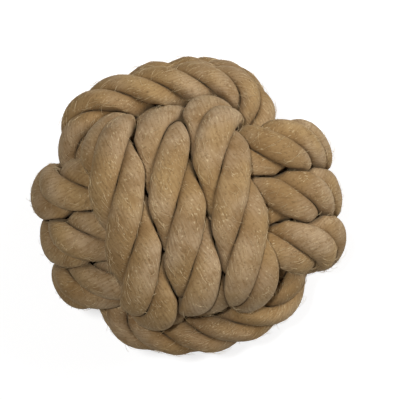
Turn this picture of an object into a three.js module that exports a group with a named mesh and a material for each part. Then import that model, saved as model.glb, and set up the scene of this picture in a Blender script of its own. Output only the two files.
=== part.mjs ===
// Rope ball for a dog: one three-strand cotton rope tied round a solid rubber ball.
// The rope goes round in three bands of three passes, each band over one neighbour and under the other.
// Millimetres, +Z up. The ball rests on the passes at its back, and the origin lies under its middle.

import * as THREE from 'three';

// Driving dimensions
const ROPE_WIDTH = 18; // across a pass, along the face of the ball
const FRONT_SPREAD = 1.06; // width of the passes in the front band, as a share of the side band's
const TOP_SQUEEZE = 0.92; // and of those in the top band
const ROPE_HEIGHT = 14.3; // through a pass, squeezed between its neighbours
const SIDE_LAY = 52; // length of rope in which a strand goes once round, in the band tied first
const FRONT_LAY = 71.6; // the same in the band across the front, where tying opened the lay
const TOP_LAY = 47.5; // and in the last band, where it closed
const LAY_START = 0.137; // turn of the strands at the end that is tied first, as a share of a turn
const SIDE_SHARE = 1 / 3; // share of the rope's length at which the front band starts
const FRONT_SHARE = 2 / 3; // and at which the top band starts
const LAY_BLEND = 0.02; // share of the rope's length over which the lay changes, each way
const STRAND_COUNT = 3;
const STRAND_CLEARANCE = 0.8; // between two strands, across their shared wall
const PASS_COUNT = 3; // passes in each band
const PASS_CLEARANCE = 1.2; // between two passes, and between a pass and the core
const SIDE_SLACK = 1.8; // added where the band tied first goes over the last one and is left slack
const CORE_DIAMETER = 62.5;
const REST_SQUEEZE = 2.3; // how far the passes at the back are pushed in where the ball rests
const FLAT_DEPTH = 3.2; // how far the back passes are pressed flat where the ball rests
const TWINE_DIAMETER = 1.6; // twine bound round each cut end of the rope
const TWINE_PITCH = 2.8; // from one turn of twine to the next
const TWINE_TURNS = 5;
const TWINE_CLEARANCE = 0.7; // between the twine and the strands

// Shape of one strand's section, as shares of the rope's half width and half height
const CROWN_REACH = 1.04; // middle of its rounded back
const FLANK_REACH = 1; // to each side of that
const FLANK_SPREAD = THREE.MathUtils.degToRad(28);
const SHOULDER_REACH = 0.84; // where it meets its neighbours

// How the knot is drawn tight
const LOOSE_START = 1.3; // size of the loose knot, as a share of the tight one
const DRAW_ROUNDS = 400;
const DRAW_PULL = 0.1; // share of the way to a straight line in a round, at first
const EASE_PULL = 0.02; // the same at last
const HUG_SHARE = 0.0008; // share of the way inwards in a round
const EASE_ROUNDS = 60;
const PUSH_SHARE = 0.5;
const ABREAST_STEPS = 1; // how far along the rope two passes still lie abreast, in steps

// How finely the shapes are cut up
const POINTS_PER_TURN = 24;
const STEPS_PER_WIDTH = 4;
const STATION_LENGTH = 6;
const TWINE_STEPS = 12;
const TWINE_SIDES = 6;
const CORE_SPLIT_COUNT = 3;

const TURN = 2 * Math.PI;
const X = new THREE.Vector3(1, 0, 0);
const Y = new THREE.Vector3(0, 1, 0);
const Z = new THREE.Vector3(0, 0, 1);

const halfWidth = ROPE_WIDTH / 2;
const halfHeight = ROPE_HEIGHT / 2;
const passPitch = ROPE_WIDTH + PASS_CLEARANCE;
const innerRadius = CORE_DIAMETER / 2 + PASS_CLEARANCE + halfHeight;
const outerRadius = innerRadius + ROPE_HEIGHT + PASS_CLEARANCE;
const restDepth = outerRadius + halfHeight - REST_SQUEEZE;
const stepLength = ROPE_WIDTH / STEPS_PER_WIDTH;
const bindingLength = TWINE_PITCH * (TWINE_TURNS + 1);

// The three bands, in the order they are tied. A turn t of a band starts at the negative side of its
// first axis and goes on to the positive side of its second; the passes climb along its stack axis.
const sideBand = {
  first: Z, firstRadius: innerRadius, second: X.clone().negate(), secondRadius: outerRadius,
  stack: Y.clone().negate(), middle: PASS_COUNT / 2 - 0.25, from: -0.045, to: PASS_COUNT - 0.19, square: 1,
};
const frontBand = {
  first: Z, firstRadius: outerRadius, second: Y, secondRadius: innerRadius,
  stack: X.clone().negate(), middle: PASS_COUNT / 2 - 0.25, from: -0.02, to: PASS_COUNT - 0.2, square: 2.6,
};
const topBand = {
  first: Y, firstRadius: outerRadius, second: X, secondRadius: innerRadius,
  stack: Z, middle: PASS_COUNT / 2, from: 0.02, to: PASS_COUNT - 0.21, square: 0,
};

const bands = [sideBand, frontBand, topBand];

// Points along one band of the loose knot. The squarer a band is, the more of its climb lies on its
// hidden side, so that its passes run straight across the front.
function bandPoints(band) {
  const steps = Math.round((band.to - band.from) * POINTS_PER_TURN);
  return Array.from({ length: steps + 1 }, (_, step) => {
    const t = band.from + step / POINTS_PER_TURN;
    const climb = t - band.square * Math.sin(TURN * (t - 0.5)) / TURN;
    return new THREE.Vector3()
      .addScaledVector(band.first, -LOOSE_START * band.firstRadius * Math.cos(TURN * t))
      .addScaledVector(band.second, LOOSE_START * band.secondRadius * Math.sin(TURN * t))
      .addScaledVector(band.stack, passPitch * (climb - band.middle));
  });
}

// A smooth curve through points, measured finely enough to be cut into equal lengths
function smoothCurve(points) {
  const curve = new THREE.CatmullRomCurve3(points, false, 'centripetal');
  curve.arcLengthDivisions = points.length * POINTS_PER_TURN;
  return curve;
}

// How far the rope has gone over into the front band, and then into the top band, at a share of its length
function bandShares(walked) {
  const toFront = THREE.MathUtils.smoothstep(walked, SIDE_SHARE - LAY_BLEND, SIDE_SHARE + LAY_BLEND);
  const toTop = THREE.MathUtils.smoothstep(walked, FRONT_SHARE - LAY_BLEND, FRONT_SHARE + LAY_BLEND);
  return { toFront, toTop };
}

// At each point: along the rope, away from the core, across the rope, and its half width there
function ropeFrames(points) {
  return points.map((point, i) => {
    const before = points[Math.max(i - 1, 0)];
    const after = points[Math.min(i + 1, points.length - 1)];
    const along = new THREE.Vector3().subVectors(after, before).normalize();
    const away = point.clone().addScaledVector(along, -point.dot(along)).normalize();
    const across = new THREE.Vector3().crossVectors(along, away);
    const { toFront, toTop } = bandShares(i / (points.length - 1));
    const share = 1 + toFront * (FRONT_SPREAD - 1) + toTop * (TOP_SQUEEZE - FRONT_SPREAD);
    return { point, along, away, across, wide: halfWidth * share };
  });
}

// How far the rope's oval reaches from its middle line in a direction
function ropeReach(frame, direction) {
  return Math.hypot(frame.wide * frame.across.dot(direction), halfHeight * frame.away.dot(direction));
}

// Pairs of points on different passes that are near enough to touch
function nearPairs(points) {
  const sameStretch = Math.round(1.8 * STEPS_PER_WIDTH);
  const near = 1.5 * passPitch;
  const pairs = [];
  for (let i = 0; i < points.length; i++) {
    for (let j = i + sameStretch; j < points.length; j++) {
      if (points[i].distanceToSquared(points[j]) < near * near) pairs.push([i, j]);
    }
  }
  return pairs;
}

// Moves each point towards the middle of its neighbours, as pulling on the rope does,
// and inwards round its band's stack axis
function drawTight(points, stacks, pull, hug) {
  const before = points.map((point) => point.clone());
  for (let i = 1; i < points.length - 1; i++) {
    const middle = before[i - 1].clone().add(before[i + 1]).multiplyScalar(0.5);
    const alongStack = before[i].dot(stacks[i]);
    points[i].lerp(middle, pull).multiplyScalar(1 - hug).addScaledVector(stacks[i], hug * alongStack);
  }
}

// Moves passes that press into each other apart, and those that press into the core off it.
// Passes of one band that lie abreast move along its stack axis only, so they stay side by side.
function pushApart(points, stacks, pairs) {
  const frames = ropeFrames(points);
  const moves = points.map(() => ({ sum: new THREE.Vector3(), count: 0 }));
  const direction = new THREE.Vector3();
  for (const [i, j] of pairs) {
    direction.subVectors(points[i], points[j]);
    const abreast = Math.abs(direction.dot(frames[i].along)) < ABREAST_STEPS * stepLength;
    if (abreast && stacks[i] === stacks[j]) direction.projectOnVector(stacks[i]);
    const distance = direction.length();
    direction.divideScalar(distance);
    const slack = stacks[i] === sideBand.stack && stacks[j] === topBand.stack ? SIDE_SLACK : 0;
    const reach = ropeReach(frames[i], direction) + ropeReach(frames[j], direction);
    const room = reach + PASS_CLEARANCE + slack;
    if (distance >= room) continue;
    moves[i].sum.addScaledVector(direction, (room - distance) / 2);
    moves[j].sum.addScaledVector(direction, (distance - room) / 2);
    moves[i].count++;
    moves[j].count++;
  }
  points.forEach((point, i) => {
    const { sum, count } = moves[i];
    point.addScaledVector(sum, PUSH_SHARE / Math.max(1, count / 2));
    point.setLength(Math.max(point.length(), innerRadius));
    point.z = Math.max(point.z, ropeReach(frames[i], Z) - restDepth);
  });
}

// One round of drawing the knot tight
function settle(points, stacks, pull, hug) {
  drawTight(points, stacks, pull, hug);
  const pairs = nearPairs(points);
  pushApart(points, stacks, pairs);
  pushApart(points, stacks, pairs);
}

// The middle line of the rope in the tight knot
function tieKnot() {
  const route = bands.map(bandPoints);
  const routeStacks = route.flatMap((points, band) => points.map(() => bands[band].stack));
  const loose = smoothCurve(route.flat());
  const count = Math.round(loose.getLength() / stepLength);
  const points = loose.getSpacedPoints(count);
  const stacks = points.map((_, i) => (
    routeStacks[Math.round(loose.getUtoTmapping(i / count) * (routeStacks.length - 1))]
  ));
  for (let round = 0; round < DRAW_ROUNDS; round++) {
    settle(points, stacks, THREE.MathUtils.lerp(DRAW_PULL, EASE_PULL, round / DRAW_ROUNDS), HUG_SHARE);
  }
  for (let round = 0; round < EASE_ROUNDS; round++) settle(points, stacks, EASE_PULL, 0);
  return smoothCurve(points);
}

// A closed skin over rings of equally many points. The quads of a flipped edge are split the other way.
function loft(rings, flippedEdges = []) {
  const sides = rings[0].length;
  const index = [];
  for (let ring = 0; ring + 1 < rings.length; ring++) {
    for (let side = 0; side < sides; side++) {
      const a = ring * sides + side;
      const b = ring * sides + (side + 1) % sides;
      const c = b + sides;
      const d = a + sides;
      if (flippedEdges.includes(side)) index.push(a, b, c, a, c, d);
      else index.push(a, b, d, b, c, d);
    }
  }
  const last = (rings.length - 1) * sides;
  for (let side = 1; side + 1 < sides; side++) {
    index.push(0, side + 1, side, last, last + side, last + side + 1);
  }
  const geometry = new THREE.BufferGeometry().setFromPoints(rings.flat());
  geometry.setIndex(index);
  geometry.computeVertexNormals();
  return geometry;
}

// Share of the full section near an end of the rope, where the binding draws it in
function drawnIn(fromEnd) {
  return 1 - THREE.MathUtils.smoothstep(fromEnd, bindingLength, bindingLength + ROPE_WIDTH);
}

// Half height and half width of the rope at a distance from its nearer end
function ropeHalves(wide, fromEnd) {
  const inward = drawnIn(fromEnd) * (TWINE_DIAMETER + TWINE_CLEARANCE);
  return { high: halfHeight - inward, wide: wide - inward };
}

// Corners of one strand's section on a circle of radius 1, from its apex at the rope's middle line
function strandSection(size) {
  const wall = STRAND_CLEARANCE / 2 / size;
  const sector = Math.PI / STRAND_COUNT;
  const shoulder = sector - Math.asin(wall / SHOULDER_REACH);
  return [
    { reach: wall / Math.sin(sector), angle: 0 },
    { reach: SHOULDER_REACH, angle: -shoulder },
    { reach: FLANK_REACH, angle: -FLANK_SPREAD },
    { reach: CROWN_REACH, angle: 0 },
    { reach: FLANK_REACH, angle: FLANK_SPREAD },
    { reach: SHOULDER_REACH, angle: shoulder },
  ];
}

// Point of the rope's oval section at an angle from the outward direction
function sectionPoint(frame, halves, reach, angle) {
  return frame.point.clone()
    .addScaledVector(frame.away, reach * halves.high * Math.cos(angle))
    .addScaledVector(frame.across, reach * halves.wide * Math.sin(angle));
}

// Turn of the strands at each station. The lay changes smoothly where one band goes over into the next.
function strandTurns(count, length) {
  const turns = [TURN * LAY_START];
  for (let i = 1; i <= count; i++) {
    const { toFront, toTop } = bandShares((i - 0.5) / count);
    const lay = SIDE_LAY + toFront * (FRONT_LAY - SIDE_LAY) + toTop * (TOP_LAY - FRONT_LAY);
    turns.push(turns[i - 1] + TURN * length / count / lay);
  }
  return turns;
}

// Rings of one strand, which turns right-handed about the rope's middle line
function strandRings(frames, length, turns, strand) {
  return frames.map((frame, i) => {
    const walked = length * i / (frames.length - 1);
    const halves = ropeHalves(frame.wide, Math.min(walked, length - walked));
    const turned = turns[i] + TURN * strand / STRAND_COUNT;
    const corners = strandSection(Math.min(halves.high, halves.wide));
    return corners.map((corner) => sectionPoint(frame, halves, corner.reach, turned + corner.angle));
  });
}

// Rings of the twine, wound from near one end of the rope inwards
function twineRings(frames, length, fromFarEnd) {
  const end = fromFarEnd ? frames[frames.length - 1] : frames[0];
  const halves = ropeHalves(end.wide, 0);
  const outward = TWINE_CLEARANCE + TWINE_DIAMETER / 2;
  const path = Array.from({ length: TWINE_TURNS * TWINE_STEPS + 1 }, (_, step) => {
    const turns = step / TWINE_STEPS;
    const walked = TWINE_PITCH * (turns + 0.5);
    const at = (fromFarEnd ? length - walked : walked) / length * (frames.length - 1);
    const low = frames[Math.floor(at)];
    const high = frames[Math.ceil(at)];
    const blend = (key) => low[key].clone().lerp(high[key], at % 1);
    const frame = { point: blend('point'), away: blend('away'), across: blend('across') };
    const wound = { high: halves.high + outward, wide: halves.wide + outward };
    return { point: sectionPoint(frame, wound, 1, TURN * turns), centre: frame.point };
  });
  return path.map(({ point, centre }, i) => {
    const before = path[Math.max(i - 1, 0)].point;
    const after = path[Math.min(i + 1, path.length - 1)].point;
    const along = new THREE.Vector3().subVectors(after, before).normalize();
    const away = new THREE.Vector3().subVectors(point, centre);
    away.addScaledVector(along, -away.dot(along)).normalize();
    const across = new THREE.Vector3().crossVectors(along, away);
    const halvesOfTwine = { high: TWINE_DIAMETER / 2, wide: TWINE_DIAMETER / 2 };
    return Array.from({ length: TWINE_SIDES }, (_, side) => (
      sectionPoint({ point, away, across }, halvesOfTwine, 1, TURN * side / TWINE_SIDES)
    ));
  });
}

// Least distance between points of rings that lie at least some rings apart
function leastGap(rings, apart) {
  let least = Infinity;
  for (let i = 0; i < rings.length; i++) {
    for (let j = i + apart; j < rings.length; j++) {
      for (const a of rings[i]) {
        for (const b of rings[j]) least = Math.min(least, a.distanceTo(b));
      }
    }
  }
  return least;
}

const ropeLine = tieKnot();
const ropeLength = ropeLine.getLength();
const stationCount = Math.round(ropeLength / STATION_LENGTH);
const frames = ropeFrames(ropeLine.getSpacedPoints(stationCount));
const turns = strandTurns(stationCount, ropeLength);

const strands = Array.from({ length: STRAND_COUNT }, (_, strand) => (
  strandRings(frames, ropeLength, turns, strand)
));
const twines = [twineRings(frames, ropeLength, false), twineRings(frames, ropeLength, true)];

// The lowest passes are pressed flat where the ball rests, and the ball is set down on that face
const corners = strands.flat(2);
const box = new THREE.Box3().setFromPoints(corners);
const restHeight = box.min.z + FLAT_DEPTH;
for (const corner of corners) corner.z = Math.max(corner.z, restHeight);
const middle = box.getCenter(new THREE.Vector3());
const lift = new THREE.Vector3(-middle.x, -middle.y, -restHeight);

function plainMaterial(color, roughness) {
  return new THREE.MeshStandardMaterial({ color, roughness, metalness: 0 });
}

const strandColours = [0x8a7354, 0x876f50, 0x8d7658];
const ballGroup = new THREE.Group();
ballGroup.position.copy(lift);

function addPiece(name, geometry, material) {
  const mesh = new THREE.Mesh(geometry, material);
  mesh.name = name;
  ballGroup.add(mesh);
}

strands.forEach((rings, strand) => {
  const cotton = plainMaterial(strandColours[strand % strandColours.length], 0.95);
  addPiece(`strand_${strand + 1}`, loft(rings, [0]), cotton);
});
const coreGeometry = new THREE.IcosahedronGeometry(CORE_DIAMETER / 2, CORE_SPLIT_COUNT);
addPiece('core_ball', coreGeometry, plainMaterial(0x2f3133, 0.7));
['start_whipping', 'end_whipping'].forEach((name, end) => {
  addPiece(name, loft(twines[end]), plainMaterial(0xcbb994, 0.85));
});

const stationsPerLay = Math.round(TOP_LAY / STATION_LENGTH);
const strandGap = Math.min(...strands.map((rings) => leastGap(rings, stationsPerLay)));
const twineGap = Math.min(...twines.map((rings) => leastGap(rings, TWINE_STEPS / 2)));
console.log(`rope length ${ropeLength.toFixed(0)} mm in ${stationCount} steps`);
console.log(`least gap of a strand to itself ${strandGap.toFixed(2)} mm`);
console.log(`least gap of a twine to itself ${twineGap.toFixed(2)} mm`);

const ropeBall = new THREE.Group();
ropeBall.add(ballGroup);
export default ropeBall;
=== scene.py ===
"""Rope dog toy: three soft cotton strands tied in a ball round a rubber core, on a pale studio floor."""

import math

import bmesh
import bpy
import numpy as np
from bpy.props import FloatProperty, FloatVectorProperty, IntProperty, PointerProperty
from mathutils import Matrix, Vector


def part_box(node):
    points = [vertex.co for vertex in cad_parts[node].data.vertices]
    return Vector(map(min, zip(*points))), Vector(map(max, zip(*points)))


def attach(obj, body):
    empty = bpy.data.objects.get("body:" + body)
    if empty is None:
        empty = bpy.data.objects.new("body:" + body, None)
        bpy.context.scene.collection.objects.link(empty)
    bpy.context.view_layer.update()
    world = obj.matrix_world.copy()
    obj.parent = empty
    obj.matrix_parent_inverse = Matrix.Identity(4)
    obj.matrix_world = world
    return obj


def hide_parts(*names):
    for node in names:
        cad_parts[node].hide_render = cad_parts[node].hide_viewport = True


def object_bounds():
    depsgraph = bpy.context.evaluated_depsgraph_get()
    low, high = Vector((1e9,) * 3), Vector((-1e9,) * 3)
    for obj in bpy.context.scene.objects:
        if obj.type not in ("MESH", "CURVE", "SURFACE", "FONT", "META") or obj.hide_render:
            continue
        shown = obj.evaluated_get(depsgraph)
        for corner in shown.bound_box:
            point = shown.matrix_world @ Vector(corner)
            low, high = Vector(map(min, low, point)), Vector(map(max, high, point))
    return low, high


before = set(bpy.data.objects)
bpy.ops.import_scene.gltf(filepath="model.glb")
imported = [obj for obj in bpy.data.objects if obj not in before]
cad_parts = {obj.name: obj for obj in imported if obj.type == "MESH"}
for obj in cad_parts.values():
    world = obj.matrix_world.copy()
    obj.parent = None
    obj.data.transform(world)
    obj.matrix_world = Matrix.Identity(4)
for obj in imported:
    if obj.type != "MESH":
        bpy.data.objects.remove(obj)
CAD_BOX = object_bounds()

bl_info = {
    "name": "Rope dog toy",
    "version": (1, 0, 0),
    "blender": (4, 5, 0),
    "location": "View3D > Sidebar > Rope toy",
    "description": "Dresses the tied rope ball with soft strands, twine whippings and a rubber core",
    "category": "Object",
}

STRAND_NODES = ("strand_1", "strand_2", "strand_3")
WHIPPING_NODES = ("start_whipping", "end_whipping")
CORE_NODE = "core_ball"
LAY_MAP = "lay"
CREASE_SHADE = "crease"
RANDOM_SEED = 7

# Reading the CAD solids
MERGE_DISTANCE = 1e-6
WALL_NEIGHBOURS = 6  # of each point of a lofted solid, apart from those of its two end rings
EVEN_WEIGHTS = (-2, 3, 6, 7, 6, 3, -2)  # of seven points in a row, which fit a parabola to them
EVEN_ROUNDS = 2

# Form of the rope. Lengths are in metres, and shares are of the rope's half width or half height.
INWARD_SWELL = 1.3  # growth of the side towards the core
FULL_HEIGHTS = (0.85, 0.95)  # shares of the usual height between which the rope starts to swell
BACK_SHARPNESS = 9.0  # how sharply a strand's round back turns into its flat sides
LEAST_LEAN = 1e-3  # keeps the flat sides clear of the round back
FLAT_ROOM = 0.01  # share from a strand's flat side to the plane midway to the next strand
UNEVEN_WAVES = (0.019, 0.031, 0.047)  # lengths over which a strand goes thick and thin
UNEVEN_SHARE = 0.012  # how much each of them adds or takes away
STRAND_GIRTH = 0.031  # round a strand's section
CREASE_REACH = 0.79  # share from the rope's middle at which the painted crease shade has its full colour
YARN_REACH = 0.0100  # from the rope's middle to the outer yarns, which run straight along the rope

# How the passes press on each other
BESIDE_WIDTHS = 1.6  # rope widths within which another pass can press
ALONG_WIDTHS = 2.2  # rope widths along the rope after which it counts as another pass
PRESS_ROUNDS = 2
PRESS_MARGIN = 0.0006  # metres from contact at which a strand starts to count as pressed

# Loose fibres, in metres and radians
FREE_PRESS, FREE_GROOVE = 0.01, 0.7  # most press and most groove where a fibre can start
FIBRE_LENGTHS = (0.0025, 0.0068)
FIBRE_LIFTS = (0.0003, 0.0009)
FIBRE_CURLS = (-0.0015, 0.0015)
FIBRE_SPREAD = 0.5  # usual turn of a fibre out of the yarn's direction
FIBRE_ARCH = 2.4  # part of a sine arch that a fibre follows
FIBRE_SINK = 0.26  # share of its length by which its tip bends back to the strand
FIBRE_RINGS, FIBRE_SIDES = 6, 3

# Whipping twine, in metres
TWINE_SIDES = 16
TWINE_STEPS = 5  # rings for each ring of the CAD twine
PLY_LAY = 0.009  # length of twine in which a ply goes once round
PLY_GROOVE = 0.28  # depth of the groove between the two plies, as a share of the twine's radius

# Stage, in metres
FLOOR_SIZE = 6
FLOOR_DROP = 0.0002  # below the face that the toy rests on
FLOOR_PAPER = (0.6, 0.6, 0.6, 1)
FLOOR_LIFT = 0.67  # brightness added to the floor near the toy; far away it is 1
FLOOR_NEAR, FLOOR_FAR = 0.2, 1.0  # distances from the toy's middle
LAMP_DISTANCE = 0.9
SENSOR_WIDTH = 36  # millimetres
WHITE = (1, 1, 1, 1)


class RopeSizes(bpy.types.PropertyGroup):
    """Sizes of the rope and its strands"""

    height: FloatProperty(
        name="Rope height", description="Usual height of the rope, which is pressed towards the core",
        default=0.0143, unit="LENGTH")
    swell: FloatVectorProperty(
        name="Swell", size=2, default=(1.0, 1.15),
        description="Growth of the soft rope past the solids, away from the core and sideways")
    strand_offset: FloatProperty(
        name="Strand offset", default=0.49, subtype="FACTOR", min=0, max=1,
        description="From the rope's middle to a strand's, as a share of the rope's half width")
    strand_radius: FloatProperty(
        name="Strand radius", description="Radius of a strand as a share of the rope's half width",
        default=0.70, subtype="FACTOR", min=0, max=1)
    station: FloatProperty(
        name="Station", description="Length of rope between two rings of points",
        default=0.00105, unit="LENGTH")
    ring_points: IntProperty(
        name="Ring points", description="Points round a strand", default=30)
    contact: FloatProperty(
        name="Contact", description="Room between two passes that press on each other",
        default=0.0001, unit="LENGTH")
    softness: FloatProperty(
        name="Softness", description="Rounding where a strand flattens on its neighbour",
        default=0.0006, unit="LENGTH")
    fibre: FloatProperty(
        name="Fibre", description="Diameter of the loose fibres", default=0.00012, unit="LENGTH")
    fibre_count: IntProperty(
        name="Fibres", description="Loose fibres, before those that would reach the floor are left out",
        default=5000)
    twine: FloatProperty(
        name="Twine", description="Diameter of the whipping twine", default=0.0016, unit="LENGTH")


class ToyColours(bpy.types.PropertyGroup):
    """Colours of the cotton, the twine and the rubber"""

    pale: FloatVectorProperty(
        name="Pale cotton", description="Dusty parts of the strands", subtype="COLOR",
        default=(0.44, 0.313, 0.186))
    gold: FloatVectorProperty(
        name="Golden cotton", description="Most of the yarn", subtype="COLOR",
        default=(0.395, 0.258, 0.116))
    # Darker patches, and also the painted shade in the creases
    brown: FloatVectorProperty(
        name="Brown cotton", description="Darker patches", subtype="COLOR",
        default=(0.23, 0.132, 0.052))
    # Painted shade deep between the strands, and also the dark specks of the yarn
    shade: FloatVectorProperty(
        name="Crease", description="Dark specks, and cotton deep between the strands", subtype="COLOR",
        default=(0.12, 0.068, 0.026))
    # Painted highlight: pale flecks on the cotton stand for fibre ends catching the light; the loose
    # fibres are also this colour
    glint_and_pale_fibre: FloatVectorProperty(
        name="Fleck", description="Pale ends of single fibres", subtype="COLOR",
        default=(0.66, 0.52, 0.31))
    twine: FloatVectorProperty(
        name="Twine", description="Waxed whipping twine", subtype="COLOR",
        default=(0.60, 0.48, 0.29))
    rubber: FloatVectorProperty(
        name="Rubber", description="Moulded core", subtype="COLOR", default=(0.03, 0.031, 0.033))
    dust: FloatVectorProperty(
        name="Dust", description="Dusty patches on the core", subtype="COLOR", default=(0.12, 0.105, 0.09))


class StageSettings(bpy.types.PropertyGroup):
    """Camera and light"""

    camera_height: FloatProperty(
        name="Camera height", description="Height of the camera over the middle of the ball",
        default=0.70, unit="LENGTH")
    camera_turn: FloatProperty(
        name="Camera turn", description="Turn of the picture about the upright axis",
        default=math.radians(11), subtype="ANGLE")
    aim: FloatVectorProperty(
        name="Aim", description="Picture's middle, right of and above the ball's middle",
        size=2, default=(0.0048, 0.0021), unit="LENGTH")
    lens: FloatProperty(
        name="Lens", description="Focal length in millimetres", default=150.0)
    key_power: FloatProperty(
        name="Key lamp", description="Watts of the small lamp beside the camera", default=4.0)
    key_size: FloatProperty(
        name="Key size", description="Side of the key lamp", default=0.06, unit="LENGTH")
    key_way: FloatVectorProperty(
        name="Key direction", description="Right and up in the picture, and towards the camera",
        default=(-0.10, 0.06, 1.0))
    fill_power: FloatProperty(
        name="Fill lamp", description="Watts of the large soft lamp at the right", default=5.5)
    fill_size: FloatProperty(
        name="Fill size", description="Side of the fill lamp", default=0.6, unit="LENGTH")
    fill_way: FloatVectorProperty(
        name="Fill direction", description="Right and up in the picture, and towards the camera",
        default=(0.70, 0.48, 0.75))
    sky: FloatProperty(
        name="Sky", description="Strength of the even light from all round", default=0.12)


class Term:
    """A node's output; a sum or product with it, or a number less it, adds a Math node."""

    def __init__(self, finish, socket):
        self.finish, self.socket = finish, socket

    def _math(self, operation, first, second):
        return self.finish.node("ShaderNodeMath", {"operation": operation}, {0: first, 1: second})

    def __add__(self, other):
        return self._math("ADD", self, other)

    __radd__ = __add__

    def __rsub__(self, other):
        return self._math("SUBTRACT", other, self)

    def __mul__(self, other):
        return self._math("MULTIPLY", self, other)


class Finish:
    """The node tree of a material or a world."""

    def __init__(self, owner):
        owner.use_nodes = True
        self.tree = owner.node_tree
        self.tree.nodes.clear()

    def node(self, kind, settings=None, sockets=None, output=0):
        """Adds a node, sets it up, fills or links its sockets and returns one of its outputs."""
        made = self.tree.nodes.new(kind)
        for name, value in (settings or {}).items():
            setattr(made, name, value)
        for name, value in (sockets or {}).items():
            if isinstance(value, Term):
                self.tree.links.new(value.socket, made.inputs[name])
            else:
                made.inputs[name].default_value = value
        return Term(self, made.outputs[output]) if made.outputs else None

    def place(self):
        """Object coordinates, which are metres in the toy's own frame."""
        return self.node("ShaderNodeTexCoord", output="Object")

    def mix(self, share, first, second):
        """A colour between two others."""
        first, second = (c if isinstance(c, Term) else (*c, 1.0) for c in (first, second))
        return self.node(
            "ShaderNodeMix", {"data_type": "RGBA"}, {0: share, 6: first, 7: second}, output=2)

    def band(self, value, low, high):
        """0 below low, 1 above high and smooth between them."""
        return self.node(
            "ShaderNodeMapRange", {"interpolation_type": "SMOOTHSTEP"},
            {"Value": value, "From Min": low, "From Max": high})

    def noise(self, vector, scale, detail, roughness=0.5, dimensions="3D"):
        """Smooth noise from 0 to 1."""
        return self.node(
            "ShaderNodeTexNoise", {"noise_dimensions": dimensions},
            {"Vector": vector, "Scale": scale, "Detail": detail, "Roughness": roughness})

    def bump(self, height, strength, distance):
        """A normal that makes the height show as relief."""
        return self.node(
            "ShaderNodeBump", sockets={"Strength": strength, "Distance": distance, "Height": height})

    def seen_directly(self):
        """1 where the camera looks, straight or by way of gloss and glass, and 0 for diffuse light."""
        camera, glossy, clear = (
            self.node("ShaderNodeLightPath", output=f"Is {ray} Ray")
            for ray in ("Camera", "Glossy", "Transmission"))
        return self.node("ShaderNodeMath", {"operation": "MAXIMUM"}, {0: camera, 1: glossy + clear})

    def surface(self, shader, kind="ShaderNodeOutputMaterial"):
        """Sends a shader to the output."""
        self.node(kind, sockets={"Surface": shader})

    def principled(self, sockets):
        """Covers the piece with the usual surface shader."""
        self.surface(self.node("ShaderNodeBsdfPrincipled", sockets=sockets))


def new_finish(name):
    """A new material and its empty node tree."""
    material = bpy.data.materials.new(name)
    return material, Finish(material)


def cotton(colours):
    """Soft twisted cotton: yarns along the rope, mottled tan and brown, with painted shade in the creases.
    """
    material, finish = new_finish("cotton")
    place = finish.place()
    lay = finish.node("ShaderNodeUVMap", {"uv_map": LAY_MAP})
    # Mask of the painted crease shade: depth in a crease, or how hard a point is pressed
    crease = finish.node("ShaderNodeAttribute", {"attribute_name": CREASE_SHADE}, output="Fac")
    row_width = 0.0013
    one_row = 0.314  # scale at which a wave texture has one row for each unit

    def along_yarn(length, width):
        return finish.node(
            "ShaderNodeMapping", {"vector_type": "TEXTURE"}, {"Vector": lay, "Scale": (length, width, 1)})

    def streaks(length, width, detail):
        """Noise drawn out along the yarns, with a usual length and width in metres."""
        return finish.noise(along_yarn(length, width), scale=1, detail=detail, dimensions="2D")

    rows = finish.node(
        "ShaderNodeTexWave", {"bands_direction": "Y"},
        {"Vector": along_yarn(row_width, row_width), "Scale": one_row,
         "Distortion": 3.0, "Detail": 2.0, "Detail Scale": 0.8}, output="Fac")
    yarn = streaks(length=0.008, width=0.0009, detail=1)
    fibre = streaks(length=0.0030, width=0.0005, detail=2)
    # Mask of the painted glints, where single fibre ends catch the light
    glint_and_pale_fibre = streaks(length=0.0012, width=0.0004, detail=0)
    hatch = rows * 0.15 + yarn * 0.4 + fibre * 0.45
    broad = finish.noise(place, scale=45, detail=2)
    smudge = finish.noise(place, scale=26, detail=2)
    patch = finish.noise(place, scale=130, detail=3, roughness=0.6)
    dot = finish.noise(place, scale=1100, detail=1)
    scatter = finish.band(finish.noise(place, scale=210, detail=1), 0.40, 0.66)

    # Each layer covers the ones before it by its share.
    layers = (
        (finish.band(broad, 0.36, 0.64), colours.pale),
        (finish.band(smudge, 0.42, 0.66) * 0.55, colours.brown),
        (finish.band(patch, 0.44, 0.72) * 0.7, colours.brown),
        # Painted shade: browner deep in the creases between strands and where passes press together
        (finish.band(crease, 0.15, 0.95) * 0.4, colours.brown),
        ((1 - finish.band(hatch, 0.30, 0.62)) * 0.45, colours.brown),
        ((1 - finish.band(dot, 0.28, 0.42)) * 0.4, colours.shade),
        # Painted highlight: sparse pale glints of fibres catching the light
        (finish.band(glint_and_pale_fibre, 0.64, 0.86) * scatter * 0.6, colours.glint_and_pale_fibre),
        # Painted shade: darker still at the bottom of the deepest creases
        (finish.band(crease, 0.85, 1.0) * 0.15, colours.shade))
    tone = colours.gold
    for share, colour in layers:
        tone = finish.mix(share, tone, colour)
    finish.principled({
        "Base Color": tone, "Roughness": 0.92, "Specular IOR Level": 0.12,
        "Sheen Weight": 0.12, "Sheen Roughness": 0.5, "Sheen Tint": (0.9, 0.75, 0.5, 1),
        "Normal": finish.bump(hatch + dot * 0.5, strength=0.45, distance=0.0006)})
    return material


def loose_fibre(colours):
    """Single cotton fibres, paler than the yarn they come from."""
    material, finish = new_finish("loose_fibre")
    bleached = finish.band(finish.noise(finish.place(), scale=300, detail=1), 0.35, 0.65)
    finish.principled({
        "Base Color": finish.mix(bleached, colours.gold, colours.glint_and_pale_fibre),
        "Roughness": 0.7, "Specular IOR Level": 0.3})
    return material


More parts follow.
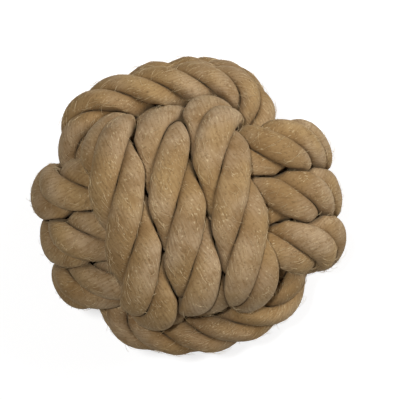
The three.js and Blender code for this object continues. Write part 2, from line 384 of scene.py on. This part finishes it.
def waxed_twine(colours):
    """Two-ply twine with a waxy shine."""
    material, finish = new_finish("waxed_twine")
    place = finish.place()
    patch = finish.noise(place, scale=700, detail=2)
    fine = finish.noise(place, scale=5000, detail=2)
    darker = [0.75 * channel for channel in colours.twine]
    finish.principled({
        "Base Color": finish.mix(patch, darker, colours.twine), "Roughness": 0.55 + fine * 0.2,
        "Normal": finish.bump(fine, strength=0.3, distance=0.0002)})
    return material


def core_rubber(colours):
    """Matt moulded rubber with a fine grain and dusty patches."""
    material, finish = new_finish("core_rubber")
    place = finish.place()
    dust = finish.band(finish.noise(place, scale=120, detail=3), 0.45, 0.75)
    grain = finish.noise(place, scale=3000, detail=2)
    finish.principled({
        "Base Color": finish.mix(dust * 0.4, colours.rubber, colours.dust), "Roughness": 0.6 + dust * 0.3,
        "Normal": finish.bump(grain, strength=0.25, distance=0.0002)})
    return material


def pale_floor():
    """White paper that the camera sees bright, with the ball's shadow kept."""
    material, finish = new_finish("pale_floor")
    distance = finish.node(
        "ShaderNodeVectorMath", {"operation": "LENGTH"}, {0: finish.place()}, output="Value")
    far = finish.band(distance, FLOOR_NEAR, FLOOR_FAR)
    glow = finish.seen_directly() * (FLOOR_LIFT + far * (1 - FLOOR_LIFT))
    paper = finish.node("ShaderNodeBsdfDiffuse", sockets={"Color": FLOOR_PAPER})
    lift = finish.node("ShaderNodeEmission", sockets={"Color": glow, "Strength": 1.0})
    finish.surface(finish.node("ShaderNodeAddShader", sockets={0: paper, 1: lift}))
    return material


def studio_sky(strength):
    """A world that lights the toy evenly and that the camera sees white."""
    world = bpy.data.worlds.new("studio_sky")
    finish = Finish(world)
    even, white = (
        finish.node("ShaderNodeBackground", sockets={"Color": WHITE, "Strength": level})
        for level in (strength, 1.0))
    shown = finish.node("ShaderNodeMixShader", sockets={0: finish.seen_directly(), 1: even, 2: white})
    finish.surface(shown, "ShaderNodeOutputWorld")
    return world


def ring_points(node):
    """Points of the rings that a lofted CAD node runs through, from one end to the other."""
    shell = bmesh.new()
    shell.from_mesh(node.data)
    bmesh.ops.remove_doubles(shell, verts=shell.verts, dist=MERGE_DISTANCE)
    shell.verts.index_update()
    places = np.array([v.co for v in shell.verts])
    beside = [{edge.other_vert(v).index for edge in v.link_edges} for v in shell.verts]
    shell.free()
    # The point with most neighbours starts the fan of faces that closes one end.
    ring = {max(range(len(beside)), key=lambda i: len(beside[i]))}
    while True:
        wider = ring | {n for i in ring for n in beside[i] if len(beside[n]) != WALL_NEIGHBOURS}
        if wider == ring:
            break
        ring = wider
    rings, seen = [], set()
    while ring:
        rings.append(places[sorted(ring)])
        seen |= ring
        ring = {n for i in ring for n in beside[i]} - seen
    return np.array(rings)


def smooth_between(values, count):
    """Evenly spaced values on a smooth curve through the given ones."""
    last = len(values) - 1
    place = np.linspace(0, last, count)
    step = np.minimum(place.astype(int), last - 1)
    part = (place - step)[:, None]
    a, b, c, d = (values[np.clip(step + k, 0, last)] for k in (-1, 0, 1, 2))
    return b + 0.5 * part * (c - a + part * (2 * a - 5 * b + 4 * c - d + part * (3 * (b - c) + d - a)))


def evened(line):
    """The line without its small kinks; a running fit of parabolas keeps its bends as they are."""
    reach = len(EVEN_WEIGHTS) // 2
    for _ in range(EVEN_ROUNDS):
        padded = np.pad(line, ((reach, reach), (0, 0)), mode="reflect", reflect_type="odd")
        weighed = [w * padded[k:len(line) + k] for k, w in enumerate(EVEN_WEIGHTS)]
        line = sum(weighed) / sum(EVEN_WEIGHTS)
    return line


def unit(vectors):
    """The vectors at length 1."""
    return vectors / np.linalg.norm(vectors, axis=-1, keepdims=True)


def square_to(vectors, along):
    """The vectors at length 1, turned square to the given directions."""
    return unit(vectors - (vectors * along).sum(-1, keepdims=True) * along)


def smoothstep(values, low, high):
    """0 below low, 1 above high and smooth between them."""
    share = np.clip((values - low) / (high - low), 0, 1)
    return share * share * (3 - 2 * share)


class Rope:
    """The rope's middle line, its axes and the turn of its strands, read from the CAD strands."""

    def __init__(self, sizes):
        low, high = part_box(CORE_NODE)
        self.core = np.array((low + high) / 2)
        self.core_radius = (high.x - low.x) / 2
        rings = np.array([ring_points(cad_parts[name]) for name in STRAND_NODES])
        self.middle = evened(rings.mean((0, 2)))
        self.set_axes()
        self.read_section(rings, sizes)
        self.refine(sizes)

    def set_axes(self):
        """Directions away from the core and across the rope, at each station."""
        along = unit(np.gradient(self.middle, axis=0))
        self.away = square_to(self.middle - self.core, along)
        self.across = np.cross(along, self.away)

    def read_section(self, rings, sizes):
        """The rope's half height and half width and the turn of its first strand, at each CAD ring."""
        offset = rings - self.middle[:, None]
        high, wide = ((offset * axis[:, None]).sum(3) for axis in (self.away, self.across))
        self.half = np.sqrt([(reach ** 2).mean((0, 2)) for reach in (high, wide)]).T
        self.half *= sizes.height / 2 / np.median(self.half[:, 0])
        turn = high.mean(2) / self.half[:, 0] + 1j * wide.mean(2) / self.half[:, 1]
        turn_back = np.exp(-2j * np.pi * np.arange(len(STRAND_NODES)) / len(STRAND_NODES))
        self.angle = np.unwrap(np.angle((turn * turn_back[:, None]).mean(0)))

    def refine(self, sizes):
        """Puts the stations closer together, and swells the rope where it has its usual height."""
        length = np.linalg.norm(np.diff(self.middle, axis=0), axis=1).sum()
        count = round(length / sizes.station) + 1
        fine = smooth_between(np.column_stack([self.middle, self.angle, self.half]), count)
        self.middle, self.angle, self.half = fine[:, :3], fine[:, 3], fine[:, 4:]
        full = smoothstep(2 * self.half[:, :1] / sizes.height, *FULL_HEIGHTS)
        self.half *= 1 + (np.array(sizes.swell) - 1) * full
        self.set_axes()
        self.length = np.linspace(0, length, count)
        self.roll = YARN_REACH * self.angle

    def section_points(self, strand, x, y):
        """Points in the rope's section at each station; x goes out through the strand and y across it."""
        turn = (self.angle + 2 * np.pi * strand / len(STRAND_NODES))[:, None]
        high = (x * np.cos(turn) - y * np.sin(turn)) * self.half[:, :1]
        high = np.where(high < 0, INWARD_SWELL * high, high)
        wide = (x * np.sin(turn) + y * np.cos(turn)) * self.half[:, 1:]
        middle, away, across = (line[:, None] for line in (self.middle, self.away, self.across))
        return middle + high[..., None] * away + wide[..., None] * across


def strand_outline(sizes):
    """Section of a strand in shares of the rope's half size: round outside, flat against the other two."""
    around = np.linspace(-np.pi, np.pi, sizes.ring_points, endpoint=False)
    lean = np.maximum(np.sin(np.abs(around) - np.pi / 3), LEAST_LEAN)
    flat = (sizes.strand_offset * math.sin(math.pi / 3) - FLAT_ROOM) / lean
    reach = (sizes.strand_radius ** -BACK_SHARPNESS + flat ** -BACK_SHARPNESS) ** (-1 / BACK_SHARPNESS)
    return sizes.strand_offset + reach * np.cos(around), reach * np.sin(around)


def groove_depth(sizes):
    """Depth of each point of a strand's outline: 0 on its back and 1 in the crease between strands."""
    out = np.hypot(*strand_outline(sizes))
    return np.clip((out.max() - out) / (out.max() - CREASE_REACH), 0, 1)


def strand_points(rope, sizes, strand, rng):
    """Rings of points along one strand, before it is pressed against its neighbours."""
    x, y = strand_outline(sizes)
    thickness = 1
    for wave in UNEVEN_WAVES:
        thickness = thickness + UNEVEN_SHARE * np.sin(2 * np.pi * (rope.length / wave + rng.random()))
    return rope.section_points(strand, thickness[:, None] * x, thickness[:, None] * y)


def press_together(rope, points, sizes):
    """Flattens the strands on those of the passes beside them, and says how much each point is pressed."""
    stations = np.arange(len(rope.middle))
    middles = np.array([
        rope.section_points(strand, sizes.strand_offset, 0)[:, 0] for strand in range(len(STRAND_NODES))])
    width = 2 * np.median(rope.half[:, 1])
    apart = ALONG_WIDTHS * width / sizes.station
    pressed = np.zeros(points.shape[:3])
    for i in stations:
        distance = np.linalg.norm(rope.middle - rope.middle[i], axis=1)
        near = np.flatnonzero((distance < BESIDE_WIDTHS * width) & (np.abs(stations - i) > apart))
        if not len(near):
            continue
        others = middles[:, near].reshape(-1, 3)
        own, middle = points[:, i], middles[:, i, None]
        for _ in range(PRESS_ROUNDS):
            gap = ((own[:, :, None] - others) ** 2).sum(3)
            side = others[gap.argmin(2)] - middle
            span = np.linalg.norm(side, axis=2)
            side /= span[..., None]
            over = ((own - middle) * side).sum(2) - span / 2 + sizes.contact / 2
            pressed[:, i] = np.maximum(pressed[:, i], np.clip(1 + over / PRESS_MARGIN, 0, 1))
            own = own - ((over + np.sqrt(over ** 2 + sizes.softness ** 2)) / 2)[..., None] * side
        points[:, i] = own
    return pressed


def keep_clear(rope, points, sizes):
    """Moves points out of the core and up from below the floor."""
    outward = points - rope.core
    distance = np.linalg.norm(outward, axis=-1, keepdims=True)
    points[:] = rope.core + outward * np.maximum(1, (rope.core_radius + sizes.contact) / distance)
    points[..., 2] = np.maximum(points[..., 2], 0)


def ring_faces(ids):
    """Four-sided faces between neighbouring rings of point numbers, a ring being the last axis."""
    beside = np.roll(ids, -1, axis=-1)
    corners = [ids[..., :-1, :], beside[..., :-1, :], beside[..., 1:, :], ids[..., 1:, :]]
    return np.stack(corners, axis=-1).reshape(-1, 4).tolist()


def new_piece(name, points, faces):
    """A new object of the given points and faces, in the scene."""
    mesh = bpy.data.meshes.new(name)
    mesh.from_pydata(points.reshape(-1, 3).tolist(), [], faces)
    piece = bpy.data.objects.new(name, mesh)
    bpy.context.scene.collection.objects.link(piece)
    return piece


def tube(name, rings, length, girth, roll):
    """A closed tube through rings of points; its UV map is its length and rolled-on girth in metres."""
    count, sides = rings.shape[:2]
    ids = np.arange(count * sides).reshape(count, sides)
    walls = ring_faces(ids)
    piece = new_piece(name, rings, walls + [ids[0, ::-1].tolist(), ids[-1].tolist()])
    u = np.repeat(length, sides).reshape(count, sides)
    v = np.linspace(-girth / 2, girth / 2, sides + 1) + roll[:, None]
    corners = [(u[:-1], v[:-1, :-1]), (u[:-1], v[:-1, 1:]), (u[1:], v[1:, 1:]), (u[1:], v[1:, :-1])]
    lay = np.stack([np.stack(corner, axis=-1) for corner in corners], axis=2).reshape(-1, 2)
    ends = np.column_stack([np.zeros(2 * sides), np.tile(v[0, :-1], 2)])
    piece.data.uv_layers.new(name=LAY_MAP).data.foreach_set("uv", np.concatenate([lay, ends]).ravel())
    piece.data.polygons.foreach_set("use_smooth", [True] * len(walls) + [False] * 2)
    return piece


def fibre_rings(rope, points, free, sizes, rng):
    """Rings of points along fibres that start under a strand's free surface and lift a little off it."""
    strand, station, side = np.nonzero(free[:, 1:-1])
    pick = rng.choice(len(strand), sizes.fibre_count, replace=False)
    strand, station, side = strand[pick], station[pick] + 1, side[pick]
    root = points[strand, station, side]
    along = unit(points[strand, station + 1, side] - points[strand, station - 1, side])
    outward = square_to(root - points[strand, station].mean(1), along)
    lean = np.arctan(np.gradient(rope.roll, rope.length))[station]
    heading = rng.normal(-lean, FIBRE_SPREAD)[:, None]
    forward = np.cos(heading) * along + np.sin(heading) * np.cross(along, outward)
    across = np.cross(forward, outward)
    length, lift, curl = (
        rng.uniform(*span, len(pick))[:, None, None] for span in (FIBRE_LENGTHS, FIBRE_LIFTS, FIBRE_CURLS))
    walked = np.linspace(0, 1, FIBRE_RINGS)[:, None]
    rise = lift * np.sin(FIBRE_ARCH * walked) - FIBRE_SINK * length * walked ** 2 - sizes.fibre
    line = root[:, None] + length * walked * forward[:, None]
    line = line + rise * outward[:, None] + curl * walked ** 2 * across[:, None]
    around = np.linspace(0, 2 * np.pi, FIBRE_SIDES, endpoint=False)[:, None]
    ring = np.cos(around) * outward[:, None] + np.sin(around) * across[:, None]
    above_floor = line[..., 2].min(1) > sizes.fibre
    return (line[:, :, None] + sizes.fibre / 2 * ring[:, None])[above_floor]


def fibre_piece(name, rings):
    """One piece of many thin closed tubes."""
    ids = np.arange(rings[..., 0].size).reshape(rings.shape[:3])
    ends = np.concatenate([ids[:, 0, ::-1], ids[:, -1]])
    return new_piece(name, rings, ring_faces(ids) + ends.tolist())


def twine_rings(rope, line, length, sizes):
    """Rings of points along the twine, whose two plies wind round each other."""
    along = unit(np.gradient(line, axis=0))
    nearest = [np.linalg.norm(rope.middle - point, axis=1).argmin() for point in line]
    away = square_to(line - rope.middle[nearest], along)
    across = np.cross(along, away)
    around = np.linspace(0, 2 * np.pi, TWINE_SIDES, endpoint=False)
    ply = np.abs(np.cos(around - length[:, None] * 2 * np.pi / PLY_LAY))
    radius = (sizes.twine / 2 * (1 - PLY_GROOVE + PLY_GROOVE * ply))[..., None]
    spoke = np.cos(around)[:, None] * away[:, None] + np.sin(around)[:, None] * across[:, None]
    return line[:, None] + radius * spoke


def add_floor(context):
    """A wide sheet of paper just below the face that the toy rests on."""
    bpy.ops.object.select_all(action="DESELECT")
    bpy.ops.mesh.primitive_plane_add(size=FLOOR_SIZE, location=(0, 0, -FLOOR_DROP))
    floor = context.object
    floor.name = "studio_floor"
    floor.data.materials.append(pale_floor())


def add_lamp(scene, name, power, size, target, direction):
    """A square lamp that shines on the target from the given direction."""
    lamp = bpy.data.lights.new(name, "AREA")
    lamp.energy, lamp.size = power, size
    lit = bpy.data.objects.new(name, lamp)
    lit.location = target + LAMP_DISTANCE * direction.normalized()
    lit.rotation_euler = direction.to_track_quat("Z", "Y").to_euler()
    scene.collection.objects.link(lit)


def add_camera(scene, settings, location):
    """The photograph's camera, which looks straight down."""
    view = bpy.data.cameras.new("photo_camera")
    view.lens, view.sensor_width = settings.lens, SENSOR_WIDTH
    camera = bpy.data.objects.new("photo_camera", view)
    camera.location = location
    camera.rotation_euler = (0, 0, -settings.camera_turn)
    scene.collection.objects.link(camera)
    scene.camera = camera


class ROPETOY_OT_strands(bpy.types.Operator):
    """Makes the three cotton strands of the tied rope and their loose fibres"""

    bl_idname = "rope_toy.strands"
    bl_label = "Cotton strands"

    def execute(self, context):
        sizes, colours = context.scene.rope_sizes, context.scene.toy_colours
        rope = Rope(sizes)
        rng = np.random.default_rng(RANDOM_SEED)
        points = np.array([strand_points(rope, sizes, strand, rng) for strand in range(len(STRAND_NODES))])
        pressed = press_together(rope, points, sizes)
        keep_clear(rope, points, sizes)
        groove = groove_depth(sizes)
        finish = cotton(colours)
        for strand, node in enumerate(STRAND_NODES):
            piece = tube(f"cotton_{node}", points[strand], rope.length, STRAND_GIRTH, rope.roll)
            # How deep each point lies in a crease or how hard it is pressed; the cotton paints shade there
            crease = np.maximum(groove, pressed[strand])
            piece.data.attributes.new(CREASE_SHADE, "FLOAT", "POINT").data.foreach_set("value", crease.ravel())
            piece.data.materials.append(finish)
            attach(piece, "root")
            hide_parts(node)
        free = (pressed < FREE_PRESS) & (groove < FREE_GROOVE)
        fuzz = fibre_piece("loose_fibres", fibre_rings(rope, points, free, sizes, rng))
        fuzz.data.materials.append(loose_fibre(colours))
        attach(fuzz, "root")
        return {"FINISHED"}


class ROPETOY_OT_whippings(bpy.types.Operator):
    """Winds the twine round the rope's two ends"""

    bl_idname = "rope_toy.whippings"
    bl_label = "Twine whippings"

    def execute(self, context):
        sizes = context.scene.rope_sizes
        rope = Rope(sizes)
        finish = waxed_twine(context.scene.toy_colours)
        for node in WHIPPING_NODES:
            coarse = ring_points(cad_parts[node]).mean(1)
            line = smooth_between(coarse, TWINE_STEPS * len(coarse))
            length = np.concatenate([[0], np.linalg.norm(np.diff(line, axis=0), axis=1).cumsum()])
            rings = twine_rings(rope, line, length, sizes)
            piece = tube(f"twine_{node}", rings, length, math.pi * sizes.twine, np.zeros(len(line)))
            piece.data.materials.append(finish)
            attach(piece, "root")
            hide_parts(node)
        return {"FINISHED"}


class ROPETOY_OT_core(bpy.types.Operator):
    """Gives the core ball its rubber finish"""

    bl_idname = "rope_toy.core"
    bl_label = "Rubber core"

    def execute(self, context):
        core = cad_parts[CORE_NODE]
        core.data.materials.clear()
        core.data.materials.append(core_rubber(context.scene.toy_colours))
        return {"FINISHED"}


class ROPETOY_OT_stage(bpy.types.Operator):
    """Sets the floor, the sky, the lamps and the camera"""

    bl_idname = "rope_toy.stage"
    bl_label = "Stage"

    def execute(self, context):
        scene, settings = context.scene, context.scene.stage_settings
        scene.view_settings.view_transform = "Standard"
        middle = (CAD_BOX[0] + CAD_BOX[1]) / 2
        turn = settings.camera_turn
        right = Vector((math.cos(turn), -math.sin(turn), 0))
        up = Vector((math.sin(turn), math.cos(turn), 0))
        high = Vector((0, 0, 1))

        def in_picture(way):
            """A way right and up in the picture and towards the camera, in the toy's frame."""
            return way[0] * right + way[1] * up + way[2] * high

        add_floor(context)
        scene.world = studio_sky(settings.sky)
        for name, power, size, way in (
                ("key_lamp", settings.key_power, settings.key_size, settings.key_way),
                ("fill_lamp", settings.fill_power, settings.fill_size, settings.fill_way)):
            add_lamp(scene, name, power, size, middle, in_picture(way))
        add_camera(scene, settings, middle + in_picture((*settings.aim, settings.camera_height)))
        return {"FINISHED"}


class ROPETOY_PT_panel(bpy.types.Panel):
    """Lists the steps that make the toy"""

    bl_idname = "ROPETOY_PT_panel"
    bl_label = "Rope toy"
    bl_space_type = "VIEW_3D"
    bl_region_type = "UI"
    bl_category = "Rope toy"

    def draw(self, context):
        for step in STEPS:
            self.layout.operator(step.bl_idname)


STEPS = (ROPETOY_OT_strands, ROPETOY_OT_whippings, ROPETOY_OT_core, ROPETOY_OT_stage)
GROUPS = {"rope_sizes": RopeSizes, "toy_colours": ToyColours, "stage_settings": StageSettings}


def register():
    for kind in (*GROUPS.values(), *STEPS, ROPETOY_PT_panel):
        bpy.utils.register_class(kind)
    for name, kind in GROUPS.items():
        setattr(bpy.types.Scene, name, PointerProperty(type=kind))


def unregister():
    for name in GROUPS:
        delattr(bpy.types.Scene, name)
    for kind in (ROPETOY_PT_panel, *reversed(STEPS), *GROUPS.values()):
        bpy.utils.unregister_class(kind)


def main():
    register()
    bpy.ops.rope_toy.strands()
    bpy.ops.rope_toy.whippings()
    bpy.ops.rope_toy.core()
    bpy.ops.rope_toy.stage()


if __name__ == "__main__":
    main()
